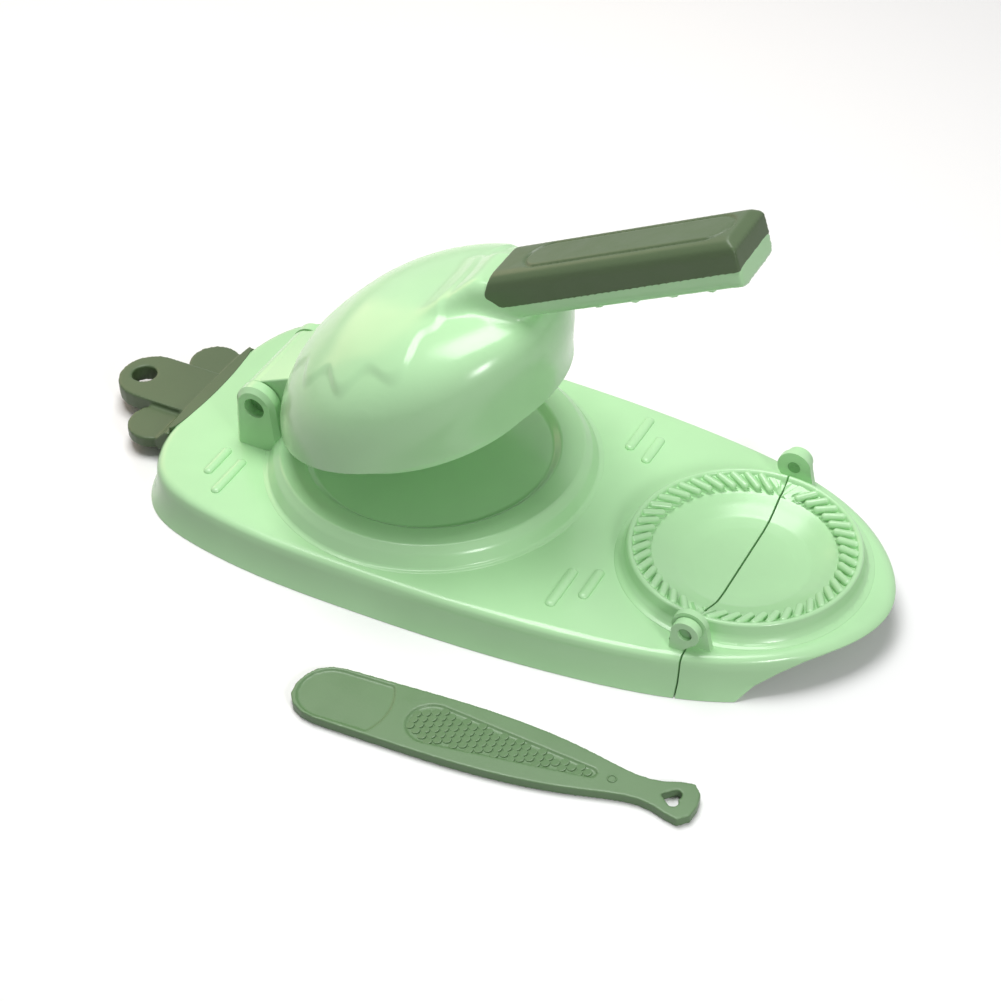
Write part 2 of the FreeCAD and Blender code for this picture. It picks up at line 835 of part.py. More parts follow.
def build():
    form = board_form()
    bar = handle_bar()
    return {
        "base_board": base_board(form),
        "leaf_tab": leaf_tab(),
        "mould_flap": mould_flap(form),
        "flap_pin_front": flap_pin(),
        "flap_pin_back": mirrored(flap_pin()),
        "press_lid": turned_lid(press_lid(bar)),
        "press_plate": turned_lid(press_plate()),
        "handle_cover": turned_lid(handle_cover(bar)),
        "lid_pin_front": turned_lid(lid_pin()),
        "lid_pin_back": turned_lid(mirrored(lid_pin())),
        "filling_spoon": filling_spoon(),
    }


os.makedirs("parts", exist_ok=True)
for name, shape in build().items():
    shape.exportStep("parts/" + name + ".step")
    size = shape.BoundBox
    print(name, len(shape.Solids), "solid", shape.isValid(), round(shape.Volume), "mm3",
          [round(v, 1) for v in (size.XMin, size.XMax, size.YMin, size.YMax, size.ZMin, size.ZMax)])
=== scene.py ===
# %% [markdown]
# # A press-and-fold dumpling maker
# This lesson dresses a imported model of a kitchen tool. A long board of mint plastic carries a round
# press well under a domed lid, and a folding mould at its tip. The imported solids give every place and
# size, so nothing has to be measured again: the solids are loaded first and never moved.

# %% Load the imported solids
import math
import bpy
from mathutils import Matrix, Vector


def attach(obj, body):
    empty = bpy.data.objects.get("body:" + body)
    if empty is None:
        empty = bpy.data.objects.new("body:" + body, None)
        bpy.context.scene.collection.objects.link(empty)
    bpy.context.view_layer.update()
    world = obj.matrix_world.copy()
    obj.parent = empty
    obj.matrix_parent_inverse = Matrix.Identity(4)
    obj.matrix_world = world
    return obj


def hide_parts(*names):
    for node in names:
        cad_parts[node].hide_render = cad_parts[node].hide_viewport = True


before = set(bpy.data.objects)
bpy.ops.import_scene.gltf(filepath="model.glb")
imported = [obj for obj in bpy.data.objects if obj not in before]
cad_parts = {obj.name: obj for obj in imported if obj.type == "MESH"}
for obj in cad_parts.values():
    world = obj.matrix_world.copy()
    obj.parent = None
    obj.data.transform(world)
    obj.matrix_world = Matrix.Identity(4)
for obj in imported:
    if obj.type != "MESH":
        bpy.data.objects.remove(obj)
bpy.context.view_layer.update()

print("solids:", sorted(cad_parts))

# %% [markdown]
# ## Working on one piece at a time
# Blender's operators act on everything that is selected. After loading, all the solids are selected, so
# the first helpers let go of them and take hold of one piece. The sizes of the pieces are in millimetres,
# as on a maker's drawing, and MM turns them into Blender's metres.

# %% Take hold of a piece
MM = 0.001


def let_go():
    """Deselects everything, so that what is added next is selected alone."""
    bpy.ops.object.select_all(action="DESELECT")


def take(piece):
    """Selects one piece alone and makes it the active one."""
    let_go()
    piece.select_set(True)
    bpy.context.view_layer.objects.active = piece


def settle(piece, name):
    """Names a piece and puts its place into its mesh, so the object sits at the origin."""
    take(piece)
    bpy.ops.object.transform_apply(location=True, rotation=True, scale=True)
    piece.name = name
    piece.data.name = name
    return piece


def apply_modifier(piece, kind, **settings):
    """Adds a modifier with its settings and applies it at once."""
    take(piece)
    modifier = piece.modifiers.new(kind.title(), kind)
    for key, value in settings.items():
        setattr(modifier, key, value)
    bpy.ops.object.modifier_apply(modifier=modifier.name)


take(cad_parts["base_board"])
print("one solid in hand:", [piece.name for piece in bpy.context.selected_objects])

# %% [markdown]
# ## Editing all of a piece, or a part of it
# Most shaping happens in edit mode. One helper opens a piece with all of it selected. Another selects only
# the points that pass a rule of place, where a hand would draw a box with the mouse. That selection is set
# in object mode, because an open mesh takes no changes from outside.

# %% Open and close a piece for editing
def edit_all(piece):
    """Opens a piece for editing with all of it selected."""
    take(piece)
    bpy.ops.object.mode_set(mode="EDIT")
    bpy.ops.mesh.select_all(action="SELECT")


def close_edit():
    """Goes back to object mode, which writes the edits into the mesh."""
    bpy.ops.object.mode_set(mode="OBJECT")


def edit_where(piece, rule):
    """Opens a piece for editing with only the points selected that pass a rule, and counts them."""
    edit_all(piece)
    bpy.ops.mesh.select_all(action="DESELECT")
    close_edit()
    for vertex in piece.data.vertices:
        vertex.select = rule(vertex)
    count = sum(vertex.select for vertex in piece.data.vertices)
    bpy.ops.object.mode_set(mode="EDIT")
    return count


print("mode after the helpers:", bpy.context.mode)

# %% [markdown]
# ## Moulded plastic
# The board, the lid and the flap are glossy mint plastic; the handle cover, the leaf and the spoon are a
# satin sage. Injection-moulded plastic is never quite even: its colour drifts a little over a few
# centimetres, its gloss changes where it was handled, and its skin has a very fine ripple. Three noises on
# Object coordinates give these, one for each. A plain colour would be quicker, but it looks like paint.

# %% The plastic finish
plastic_ior = 1.49
drift_scale = 26.0
handling_scale = 110.0
ripple_scale = 900.0
ripple_height = 0.2


def noise_value(tree, place, scale, detail):
    """A noise on Object coordinates, finer with a higher scale."""
    noise = tree.nodes.new("ShaderNodeTexNoise")
    noise.inputs["Scale"].default_value = scale
    noise.inputs["Detail"].default_value = detail
    tree.links.new(place.outputs["Object"], noise.inputs["Vector"])
    return noise.outputs["Fac"]


def moulded_plastic(name, colour, drift, gloss, ripple):
    """A plastic of one colour that drifts slightly; gloss is its lowest and highest roughness."""
    finish = bpy.data.materials.new(name)
    finish.use_nodes = True
    tree = finish.node_tree
    shader = tree.nodes["Principled BSDF"]
    shader.inputs["IOR"].default_value = plastic_ior
    place = tree.nodes.new("ShaderNodeTexCoord")

    tone = tree.nodes.new("ShaderNodeValToRGB")
    deep, pale = tone.color_ramp.elements
    deep.position = 0.3
    pale.position = 0.7
    deep.color = (*[part * (1 - drift) for part in colour], 1)
    pale.color = (*[part * (1 + drift) for part in colour], 1)
    tree.links.new(noise_value(tree, place, drift_scale, detail=3.0), tone.inputs["Fac"])
    tree.links.new(tone.outputs["Color"], shader.inputs["Base Color"])

    polish = tree.nodes.new("ShaderNodeMapRange")
    polish.inputs["From Min"].default_value = 0.35
    polish.inputs["From Max"].default_value = 0.65
    polish.inputs["To Min"].default_value = gloss[0]
    polish.inputs["To Max"].default_value = gloss[1]
    tree.links.new(noise_value(tree, place, handling_scale, detail=5.0), polish.inputs["Value"])
    tree.links.new(polish.outputs["Result"], shader.inputs["Roughness"])

    relief = tree.nodes.new("ShaderNodeBump")
    relief.inputs["Strength"].default_value = ripple
    relief.inputs["Distance"].default_value = ripple_height * MM
    tree.links.new(noise_value(tree, place, ripple_scale, detail=2.0), relief.inputs["Height"])
    tree.links.new(relief.outputs["Normal"], shader.inputs["Normal"])
    return finish


print("noise scales of the plastic:", drift_scale, handling_scale, ripple_scale)

# %% [markdown]
# ## Four colours of plastic
# All four finishes come from the same function, because the pieces left the same kind of mould. The mint is
# the glossiest. The two sages scatter light more widely. The pins are a darker mint, which is painted shade:
# it stands for the shade inside their bores. Each finish belongs to a material slot of the imported record.

# %% The four finishes
mint_gloss = moulded_plastic(
    "mint_gloss", colour=(0.460, 0.765, 0.420), drift=0.03, gloss=(0.17, 0.26), ripple=0.05)
sage_satin = moulded_plastic(
    "sage_satin", colour=(0.072, 0.118, 0.048), drift=0.05, gloss=(0.36, 0.46), ripple=0.12)
sage_spoon = moulded_plastic(
    "sage_spoon", colour=(0.132, 0.235, 0.108), drift=0.04, gloss=(0.32, 0.42), ripple=0.10)
# The pins' darker mint is painted shade for the shade inside their bores.
pin_painted_shade = moulded_plastic(
    "pin_painted_shade", colour=(0.200, 0.430, 0.180), drift=0.03, gloss=(0.25, 0.35), ripple=0.05)
finishes = {
    "mint_shell": mint_gloss, "sage_trim": sage_satin, "sage_spoon": sage_spoon, "mint_pin": pin_painted_shade}
print("finishes:", sorted(finishes))

# %% [markdown]
# ## Solids that show as they are
# The hinge pins and the flat plate inside the lid are right as packed, and little of them is seen. A softer
# copy would change nothing, so these solids stay in view and only take their finish.

# %% Pins and press plate
plain_solids = {
    # The pins take the darker mint, which paints the shade of their bores.
    "lid_pin_front": pin_painted_shade, "lid_pin_back": pin_painted_shade, "flap_pin_front": pin_painted_shade,
    "flap_pin_back": pin_painted_shade, "press_plate": mint_gloss}
for node, finish in plain_solids.items():
    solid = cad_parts[node]
    solid.data.materials.clear()
    solid.data.materials.append(finish)
print("solids shown as they are:", sorted(plain_solids))

# %% [markdown]
# ## Finishing a piece
# A moulded piece looks smooth on its curves and level on its flats. Shading smooth by angle keeps the sharp
# edges, and the Weighted Normal modifier keeps a large flat face from looking bent beside a small round one.
# A finished piece takes its finish and rides on the body that it moves with. The imported solid that it
# stands for is then hidden.

# %% Shade a piece and hand it over
def smooth_look(piece, angle):
    """Shades a piece smooth up to an angle in degrees, and lets its large flat faces stay flat."""
    take(piece)
    bpy.ops.object.shade_smooth_by_angle(angle=math.radians(angle))
    apply_modifier(piece, "WEIGHTED_NORMAL", mode="FACE_AREA_WITH_ANGLE", keep_sharp=True)


def finish_piece(piece, slot, body, *nodes):
    """Gives a piece the finish of a slot, lets it ride on a body and hides the solids it stands for."""
    piece.data.materials.clear()
    piece.data.materials.append(finishes[slot])
    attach(piece, body)
    if nodes:
        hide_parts(*nodes)
    print(piece.name, len(piece.data.polygons), "faces on", body)


# %% [markdown]
# ## Turning a ring on the lathe
# The press well and the folding mould are round, so their soft outlines are drawn once, as a chain of edges,
# and spun about an upright line. Bevelling the chain's corner points first gives every lip its radius. The
# outline runs back under itself, so that the ring has a wall, as the moulding has.

# %% A lathe
lathe_steps = 128
corner_segments = 4
seam_gap = 0.01


def lathe(name, outline, middle_x, rounding):
    """Spins an outline of (radius, height) points in millimetres about an upright line."""
    corners = [Vector((middle_x + radius, 0, height)) * MM for radius, height in outline]
    let_go()
    bpy.ops.mesh.primitive_plane_add(size=MM, location=corners[0])
    ring = settle(bpy.context.object, name)
    edit_all(ring)
    bpy.ops.mesh.merge(type="CENTER")
    for here, there in zip(corners, corners[1:]):
        bpy.ops.mesh.extrude_region_move(TRANSFORM_OT_translate={"value": there - here})
    bpy.ops.mesh.select_all(action="SELECT")
    bpy.ops.mesh.bevel(
        offset=rounding * MM, segments=corner_segments, affect="VERTICES", clamp_overlap=True)
    bpy.ops.mesh.select_all(action="SELECT")
    axis_place = (middle_x * MM, 0, 0)
    bpy.ops.mesh.spin(steps=lathe_steps, angle=2 * math.pi, center=axis_place, axis=(0, 0, 1))
    bpy.ops.mesh.select_all(action="SELECT")
    bpy.ops.mesh.remove_doubles(threshold=seam_gap * MM)
    bpy.ops.mesh.normals_make_consistent(inside=False)
    close_edit()
    return ring


print("lathe steps in a turn:", lathe_steps)

# %% [markdown]
# ## The press well
# The well is a low round platform with a shallow bed, on which the lid presses. Its lip flows down into the
# board's top in one soft slope. The solid has that slope as a plain cone, so the well is turned here with a
# radius at every corner. Its foot lies a hair above the board, so that the two faces don't flicker.

# %% Turn the well
board_top = 16.6
hair = 0.02
well_top = 24.6
bed_top = 22.0
bed_under = 20.6
bed_radius = 47.2
lip_inside = 50.2
lip_outside = 59.6
well_foot = 67.2
well_rounding = 1.3
well_upper = [
    (0, bed_top), (bed_radius, bed_top), (lip_inside, well_top), (lip_outside, well_top),
    (62.4, 21.8), (65.0, board_top + 0.5), (well_foot, board_top + hair)]
well_under = [
    (66.0, board_top - 0.9), (62.0, board_top + 1.5), (58.0, bed_under), (0, bed_under)]
well = lathe("press_well", well_upper + well_under, 0, well_rounding)
smooth_look(well, 60)
finish_piece(well, "mint_shell", "board")

# %% [markdown]
# ## The folding mould
# The mould is one bowl that is parted down the middle. The half at the tip folds over onto the other one and
# crimps what lies between them. The ring is turned whole, once for each half, and cut back to its own side
# of the seam with Bisect, which also closes the cut.

# %% Bowl and rim, parted at the seam
mould_x = 131.5
mould_top = 24.6
bowl_low = 15.2
bowl_under = 13.9
bowl_flat = 19.0
rim_inside = 41.7
rim_outside = 43.5
mould_foot = 48.6
mould_rounding = 0.9
half_seam = 0.41
mould_bowl = [(0, bowl_low), (bowl_flat, bowl_low), (25, 16.0), (30, 18.2), (34.3, 20.4), (40.6, 21.6)]
mould_rim = [
    (rim_inside, mould_top), (rim_outside, mould_top), (44.4, 19.6), (46.0, board_top + 0.7),
    (mould_foot, board_top + hair)]
mould_under = [
    (47.0, board_top - 0.9), (44.0, board_top - 0.4), (42.0, 19.2), (34.6, 18.8), (25, 14.4),
    (bowl_flat, bowl_under), (0, bowl_under)]


def part_at_seam(piece, side):
    """Keeps what lies on one side of the seam: -1 the board's side, +1 the flap's."""
    edit_all(piece)
    bpy.ops.mesh.bisect(
        plane_co=((mould_x + side * half_seam) * MM, 0, 0), plane_no=(-side, 0, 0),
        use_fill=True, clear_outer=True)
    close_edit()


for side, name, body in ((-1, "mould_half_board", "board"), (1, "mould_half_flap", "flap")):
    half = lathe(name, mould_bowl + mould_rim + mould_under, mould_x, mould_rounding)
    part_at_seam(half, side)
    smooth_look(half, 60)
    finish_piece(half, "mint_shell", body)

# %% [markdown]
# ## Softening edges
# No edge of a moulding is razor sharp. The Bevel operator rounds the selected edges, and this helper selects
# them in two steps: first all that are sharper than an angle, then those of them that a test of place
# accepts. A Bevel modifier would round everything alike, also edges that have to stay crisp.

# %% Bevel chosen edges
sharp_from = 35.0


def everywhere(*points):
    """A test of place that every edge passes."""
    return True


def soften(piece, width, chosen, sharp=sharp_from, segments=3):
    """Bevels the sharp edges whose two ends pass a test of place, in millimetres."""
    edit_all(piece)
    bpy.ops.mesh.select_mode(type="EDGE")
    bpy.ops.mesh.select_all(action="DESELECT")
    bpy.ops.mesh.edges_select_sharp(sharpness=math.radians(sharp))
    close_edit()
    points = [vertex.co / MM for vertex in piece.data.vertices]
    for edge in piece.data.edges:
        if edge.select and not chosen(*[points[end] for end in edge.vertices]):
            edge.select = False
    count = sum(edge.select for edge in piece.data.edges)
    bpy.ops.object.mode_set(mode="EDIT")
    bpy.ops.mesh.bevel(offset=width * MM, segments=segments, affect="EDGES", clamp_overlap=True)
    bpy.ops.mesh.select_mode(type="VERT")
    close_edit()
    print(piece.name, "edges softened:", count)


print("edges count as sharp from", sharp_from, "degrees")

# %% [markdown]
# ## The crimping rope
# Inside the rim lie slanted strands like the lay of a rope, which press pleats into a folded edge. One
# strand is a short cylinder with rounded ends, laid from the rim down to the bowl. The Spin operator
# with duplicates then repeats it round the mould. On the flap the strands slant the other way and sit half
# a step further on, so that they fall between the board's strands when the flap is folded over.

# %% Strands
strand_step = 7.5
strand_radius = 1.5
strand_twist = 9.0
strand_count = 22
strand_rounding = 1.25
rope_outside = 42.0
rope_inside = 34.9
rim_end_below = 1.3
bowl_end_below = 3.0
first_on_board = 105.0
first_on_flap = -86.25


def mould_place(angle, radius, height):
    """A point of the mould from its angle, its radius and its height."""
    turn = math.radians(angle)
    return Vector((mould_x + radius * math.cos(turn), radius * math.sin(turn), height)) * MM


def rope_half(name, first, twist):
    """Half a ring of strands that begins at an angle; all of them stay clear of the seam."""
    rim_end = mould_place(first, rope_outside, mould_top - rim_end_below)
    bowl_end = mould_place(first + twist, rope_inside, mould_top - bowl_end_below)
    lay = bowl_end - rim_end
    let_go()
    bpy.ops.mesh.primitive_cylinder_add(
        vertices=16, radius=strand_radius * MM, depth=lay.length, location=(rim_end + bowl_end) / 2,
        rotation=lay.to_track_quat("Z", "Y").to_euler())
    rope = settle(bpy.context.object, name)
    soften(rope, strand_rounding, everywhere, sharp=50, segments=4)
    edit_all(rope)
    bpy.ops.mesh.spin(
        steps=strand_count - 1, dupli=True, angle=math.radians(-(strand_count - 1) * strand_step),
        center=(mould_x * MM, 0, 0), axis=(0, 0, 1))
    close_edit()
    smooth_look(rope, 50)
    return rope


finish_piece(rope_half("rope_board", first_on_board, -strand_twist), "mint_shell", "board")
finish_piece(rope_half("rope_flap", first_on_flap, strand_twist), "mint_shell", "flap")

# %% [markdown]
# ## Workable copies of the solids
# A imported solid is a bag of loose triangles. A copy of one becomes a workable mesh when its doubled points
# are merged and the flat triangles are joined into larger faces. Where a form is already right, such a copy
# only needs softer edges. Where it is too plain, a new piece is modelled in its place.

# %% Copy a solid
doubles_gap = 0.02
flat_within = math.radians(0.6)


def workable_copy(node, name):
    """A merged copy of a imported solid, ready to be edited."""
    piece = bpy.data.objects.new(name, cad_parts[node].data.copy())
    bpy.context.scene.collection.objects.link(piece)
    take(piece)
    bpy.ops.mesh.customdata_custom_splitnormals_clear()
    edit_all(piece)
    bpy.ops.mesh.remove_doubles(threshold=doubles_gap * MM)
    bpy.ops.mesh.dissolve_limited(angle_limit=flat_within)
    close_edit()
    return piece


board_shell = workable_copy("base_board", "board_shell")
flap_shell = workable_copy("mould_flap", "flap_shell")
print("copies:", [(shell.name, len(shell.data.polygons)) for shell in (board_shell, flap_shell)])

# %% [markdown]
# ## Room for the turned rings
# The solids of board and flap have plain forms of the well and the mould. Cutting these away would leave
# holes in the shells, so they are sunk a little instead, and the softer rings show above them. The rules
# below find their points by place. Points that look down belong to the underside and stay where they are.

# %% Sink what the rings cover
sink = 1.3
looks_down = -0.2
below_a_face = 0.1
above_a_face = 0.05
plain_well_radius = 62.2
plain_well_half_width = 60.5
slope_foot = 65.0
slope_lean = 0.53
slope_low = board_top + 0.2
slope_top = 23.2
cone_slack = 0.25
plain_mould_radius = 44.7


def on_the_well(point):
    """The bed and the lip of the plain well."""
    if math.hypot(point.x, point.y) >= plain_well_radius or abs(point.y) >= plain_well_half_width:
        return False
    return bed_top - below_a_face < point.z < well_top + above_a_face


def on_the_slope(point):
    """The cone between the plain well's lip and the board's top."""
    cone_radius = slope_foot - (point.z - board_top) * slope_lean
    on_cone = abs(math.hypot(point.x, point.y) - cone_radius) < cone_slack
    return on_cone and slope_low < point.z < slope_top


def in_the_mould(point):
    """The bowl and the rim of the plain mould."""
    inside = math.hypot(point.x - mould_x, point.y) < plain_mould_radius
    return inside and bowl_low - below_a_face < point.z < mould_top + above_a_face


def under_a_ring(vertex):
    """Whether a point of a shell lies under one of the turned rings."""
    point = vertex.co / MM
    covered = on_the_well(point) or on_the_slope(point) or in_the_mould(point)
    return covered and vertex.normal.z > looks_down


for shell in (board_shell, flap_shell):
    count = edit_where(shell, under_a_ring)
    bpy.ops.transform.translate(value=(0, 0, -sink * MM))
    close_edit()
    print(shell.name, "points sunk:", count)

# %% [markdown]
# ## The board and the flap
# Two ears stand on the board and carry the lid, and small clips hold the flap at both ends of the seam.
# These are the edges that a hand meets, so they are the ones that get rounded. The skirt already has its
# curve in the solid, and the seam between board and flap stays crisp, because it closes tightly.

# %% Round the ears and the clips
hinge_x = -65.4
ear_half_length = 11.0
ear_inside = 18.9
ear_outside = 25.1
ear_rounding = 1.3
clip_half_length = 9.5
clip_inside = 47.6
clip_outside = 54.7
clip_rounding = 0.5
stands_above = 0.6


def rises(*points):
    """Whether an edge stands up from the board's top and does not lie on it."""
    heights = [point.z for point in points]
    return min(heights) > board_top - below_a_face and max(heights) > board_top + stands_above


def on_an_ear(*points):
    """The two ears that carry the lid."""
    return rises(*points) and all(
        abs(point.x - hinge_x) < ear_half_length and ear_inside < abs(point.y) < ear_outside
        for point in points)


def on_a_clip(*points):
    """The clips and ears at the two ends of the mould's seam."""
    return rises(*points) and all(
        abs(point.x - mould_x) < clip_half_length and clip_inside < abs(point.y) < clip_outside
        for point in points)


soften(board_shell, ear_rounding, on_an_ear)
for shell, body, node in ((board_shell, "board", "base_board"), (flap_shell, "flap", "mould_flap")):
    soften(shell, clip_rounding, on_a_clip)
    smooth_look(shell, 50)
    finish_piece(shell, "mint_shell", body, node)

# %% [markdown]
# ## Dashes on the board
# Three pairs of short raised bars decorate the board's top, a long one and a short one in each. A pair is
# given by the long bar's place and the step from it to the short one. A bar starts as a sphere that is drawn
# out along the board's width, where the points on either side of its middle move apart, and pressed flat.
# A box with rounded edges would do too, but the sphere's ends are round at once.

# %% Raised dashes
dash_half_width = 2.1
dash_rise = 1.3
long_dash = 22.0
short_dash = 17.0
dash_spacing = 9.0
off_middle = 0.01
tail_pair = (-66.4, -45.0, -dash_spacing, 6.0)
front_pair = (78.0, -44.0, dash_spacing, 6.4)
back_pair = (66.0, 49.5, dash_spacing, -7.0)


def dash(x, y, length):
    """A bar with round ends that lies across the board."""
    let_go()
    bpy.ops.mesh.primitive_uv_sphere_add(segments=20, ring_count=12, radius=dash_half_width * MM)
    bar = bpy.context.object
    reach = (length / 2 - dash_half_width) * MM
    for sign in (1, -1):
        edit_where(bar, lambda vertex: vertex.co.y * sign > off_middle * MM)
        bpy.ops.transform.translate(value=(0, sign * reach, 0))
        close_edit()
    bar.scale = (1, 1, dash_rise / dash_half_width)
    bar.location = (x * MM, y * MM, board_top * MM)
    return settle(bar, "dash")


for x, y, along, across in (tail_pair, front_pair, back_pair):
    for place_x, place_y, length in ((x, y, long_dash), (x + along, y + across, short_dash)):
        bar = dash(place_x, place_y, length)
        smooth_look(bar, 60)
        finish_piece(bar, "mint_shell", "board")

# %% [markdown]
# ## The lid
# Dome, neck and handle are one moulding with no edge between them. Such a form is hard to draw face by face.
# Instead a closed dome, a closed handle and four grip bars are modelled roughly, joined and remeshed to one
# even skin, which a Smooth modifier then blends. All of it is modelled with the lid shut, when the rim lies
# level, and swung open at the end. The dome comes first: a disc that is extruded upwards ring by ring.

# %% The dome, ring by ring
rim_radius = 58.6
rim_height = 32.3
dome_height = 44.0
dome_lean = 20.0
lean_full_at = 0.8
lean_power = 1.3
dome_power = 2.8
dome_rings = 24
rings_to_crown = 24.2
skirt_below = 6.0


def dome_section(share):
    """The dome's middle and its sizes along x, y and z, share of the way from rim to crown."""
    turn = math.pi / 2 * share
    radius = rim_radius * math.cos(turn) ** (2 / dome_power)
    rise = dome_height * math.sin(turn) ** (2 / dome_power)
    lean = dome_lean * min(1.0, rise / (dome_height * lean_full_at)) ** lean_power
    return Vector((lean, 0, rim_height + rise)), (radius, radius, 1)


def stack(sections):
    """Extrudes the selected face from section to section; each is a middle and its three sizes."""
    for (here, size), (there, next_size) in zip(sections, sections[1:]):
        bpy.ops.mesh.extrude_region_move(TRANSFORM_OT_translate={"value": (there - here) * MM})
        growth = [new / old for new, old in zip(next_size, size)]
        bpy.ops.transform.resize(value=growth, center_override=there * MM)


skirt_height = rim_height - skirt_below
let_go()
bpy.ops.mesh.primitive_circle_add(
    vertices=96, radius=rim_radius * MM, fill_type="NGON", location=(0, 0, skirt_height * MM))
dome = settle(bpy.context.object, "lid_body")
edit_all(dome)
skirt_section = (Vector((0, 0, skirt_height)), (rim_radius, rim_radius, 1))
stack([skirt_section] + [dome_section(k / rings_to_crown) for k in range(dome_rings)])
close_edit()
print("dome:", len(dome.data.polygons), "faces")

# %% [markdown]
# ## The neck and the handle
# The neck grows out of the dome as a wide flat bar and narrows to the handle, which rises gently to its end.
# It is extruded from section to section as the dome was. Under the dark cover the bar lies lower, so that
# no mint shows through, and at the very end it drops once more to leave the cover its own end face.

# %% Neck and handle
handle_end = 154.0
handle_start = 48.0
handle_start_height = 86.2
handle_rise = math.radians(7.6)
handle_half_width = 12.8
handle_rounding = 7.0
neck_end = 46.0
neck_end_extra = 0.6
cover_start = 58.0
handle_middle = 100.0
step_start = handle_end - 5.0
step_end = handle_end - 4.5
under_cover = 5.0
cover_end_depth = 9.6
bar_depth = 18.5


def handle_top(x):
    """Height of the handle's top with the lid shut."""
    return handle_start_height + math.tan(handle_rise) * (x - handle_start)


def bar_section(x, top_below, half_width):
    """Middle and sizes of the bar where its top lies this far below the handle's top."""
    half_depth = (bar_depth - top_below) / 2
    return Vector((x, 0, handle_top(x) - top_below - half_depth)), (1, half_width, half_depth)


neck_root = (Vector((4.0, 0, 58.0)), (1, 32.0, 12.0))
neck_waist = (Vector((26.0, 0, 64.2)), (1, 23.0, 12.4))
bars = [neck_root, neck_waist, bar_section(neck_end, neck_end_extra, handle_half_width + neck_end_extra)]
bars += [bar_section(x, under_cover, handle_half_width) for x in (cover_start, handle_middle, step_start)]
bars += [bar_section(x, cover_end_depth, handle_half_width) for x in (step_end, handle_end)]
root_middle, root_size = neck_root
let_go()
bpy.ops.mesh.primitive_plane_add(size=2 * MM, location=root_middle * MM, rotation=(0, math.pi / 2, 0))
handle = settle(bpy.context.object, "handle_bar")
edit_all(handle)
bpy.ops.transform.resize(value=root_size, center_override=root_middle * MM)
bpy.ops.mesh.bevel(
    offset=handle_rounding * MM, segments=corner_segments, affect="VERTICES", clamp_overlap=True)
stack(bars)
bpy.ops.mesh.select_all(action="SELECT")
bpy.ops.mesh.normals_make_consistent(inside=False)
close_edit()
print("handle:", len(handle.data.polygons), "faces")

# %% [markdown]
# ## Grips for the fingers
# Four round bars across the handle's underside keep the fingers from slipping. Only their lower halves show,
# as soft waves, so plain cylinders are enough here: the remesh below melts them into the handle.

# %% Grip bars under the handle
grip_count = 4
grip_first = 93.0
grip_pitch = 15.2
grip_radius = 3.2
grip_length = 17.0
grip_below = 17.2
grips = []
for k in range(grip_count):
    x = grip_first + k * grip_pitch
    let_go()
    bpy.ops.mesh.primitive_cylinder_add(
        vertices=24, radius=grip_radius * MM, depth=grip_length * MM,
        location=(x * MM, 0, (handle_top(x) - grip_below) * MM), rotation=(math.pi / 2, 0, 0))
    grips.append(settle(bpy.context.object, "grip"))
print("grip bars:", len(grips))

# %% [markdown]
# ## Melting pieces into one skin
# The Remesh modifier wraps a piece in small even squares, and the Smooth modifier relaxes them, which rounds
# every edge and blends what touches. Voxels that lie square to a surface leave terraces on it, so the piece
# is turned askew first and turned back afterwards. A vertex group tells a modifier where to act: here its
# weight comes from a rule of place and fades with a soft step.

# %% Helpers to melt and to weigh
askew = Matrix.Rotation(math.radians(34), 4, "Y") @ Matrix.Rotation(math.radians(23), 4, "X")
smooth_factor = 0.5


def melt(piece, voxel, rounds):
    """Remeshes a piece to one even skin and smooths it, askew to the voxels."""
    piece.matrix_world = askew
    settle(piece, piece.name)
    apply_modifier(piece, "REMESH", mode="VOXEL", voxel_size=voxel * MM)
    apply_modifier(piece, "SMOOTH", factor=smooth_factor, iterations=rounds)
    piece.matrix_world = askew.inverted()
    settle(piece, piece.name)
    print(piece.name, "melted to", len(piece.data.polygons), "faces")


def weigh(piece, name, weight):
    """A vertex group whose weight at each point comes from a rule of place, in millimetres."""
    group = piece.vertex_groups.new(name=name)
    for vertex in piece.data.vertices:
        group.add([vertex.index], weight(vertex.co / MM), "REPLACE")
    return group.name


def ease(share):
    """A soft step from 0 to 1."""
    share = min(1.0, max(0.0, share))
    return share * share * (3 - 2 * share)


print("soft step at a quarter:", ease(0.25))

# %% [markdown]
# ## One skin for the lid
# Dome, handle and grips are joined and melted. The neck needs far more smoothing than the handle, whose
# edges have to stay, so a second Smooth modifier acts on the dome's side alone.

# %% Join, melt and blend
lid_voxel = 0.75
lid_rounds = 8
blend_rounds = 120
blend_full_to = 52.0
blend_fade = 14.0
take(dome)
for piece in [handle] + grips:
    piece.select_set(True)
bpy.ops.object.join()
lid_body = bpy.context.object
melt(lid_body, lid_voxel, lid_rounds)
blend = weigh(lid_body, "blend", lambda point: 1 - ease((point.x - blend_full_to) / blend_fade))
apply_modifier(lid_body, "SMOOTH", factor=smooth_factor, iterations=blend_rounds, vertex_group=blend)
print("neck blended into the dome over", blend_fade, "mm")

# %% [markdown]
# ## The dripping edge on the dome
# A thin second layer lies over the back and the top of the dome, and its edge hangs down in soft drips, as
# icing does. The edge is a wavy line in the plan of the shut lid. A vertex group is full inside that line
# and fades over its edge, and a Displace modifier lifts the skin by it, which leaves a rounded step.

# %% Raise the layer
layer_middle = 5.0
layer_height = 0.9
layer_edge = 5.0
reach_at_handle = 34.0
reach_gain = 13.5
reach_grows_from = 20.0
reach_grows_over = 42.0
drip_length = 2.8
first_drip = 64.0
drips_begin = 25.0
drips_grow_over = 25.0
drips_in_a_turn = 12.4
sway_length = 1.1
sways_in_a_turn = 5.3
longest_drip = 66.0
longest_extra = 3.0
longest_spread = 12.0
rim_clearance = 4.0


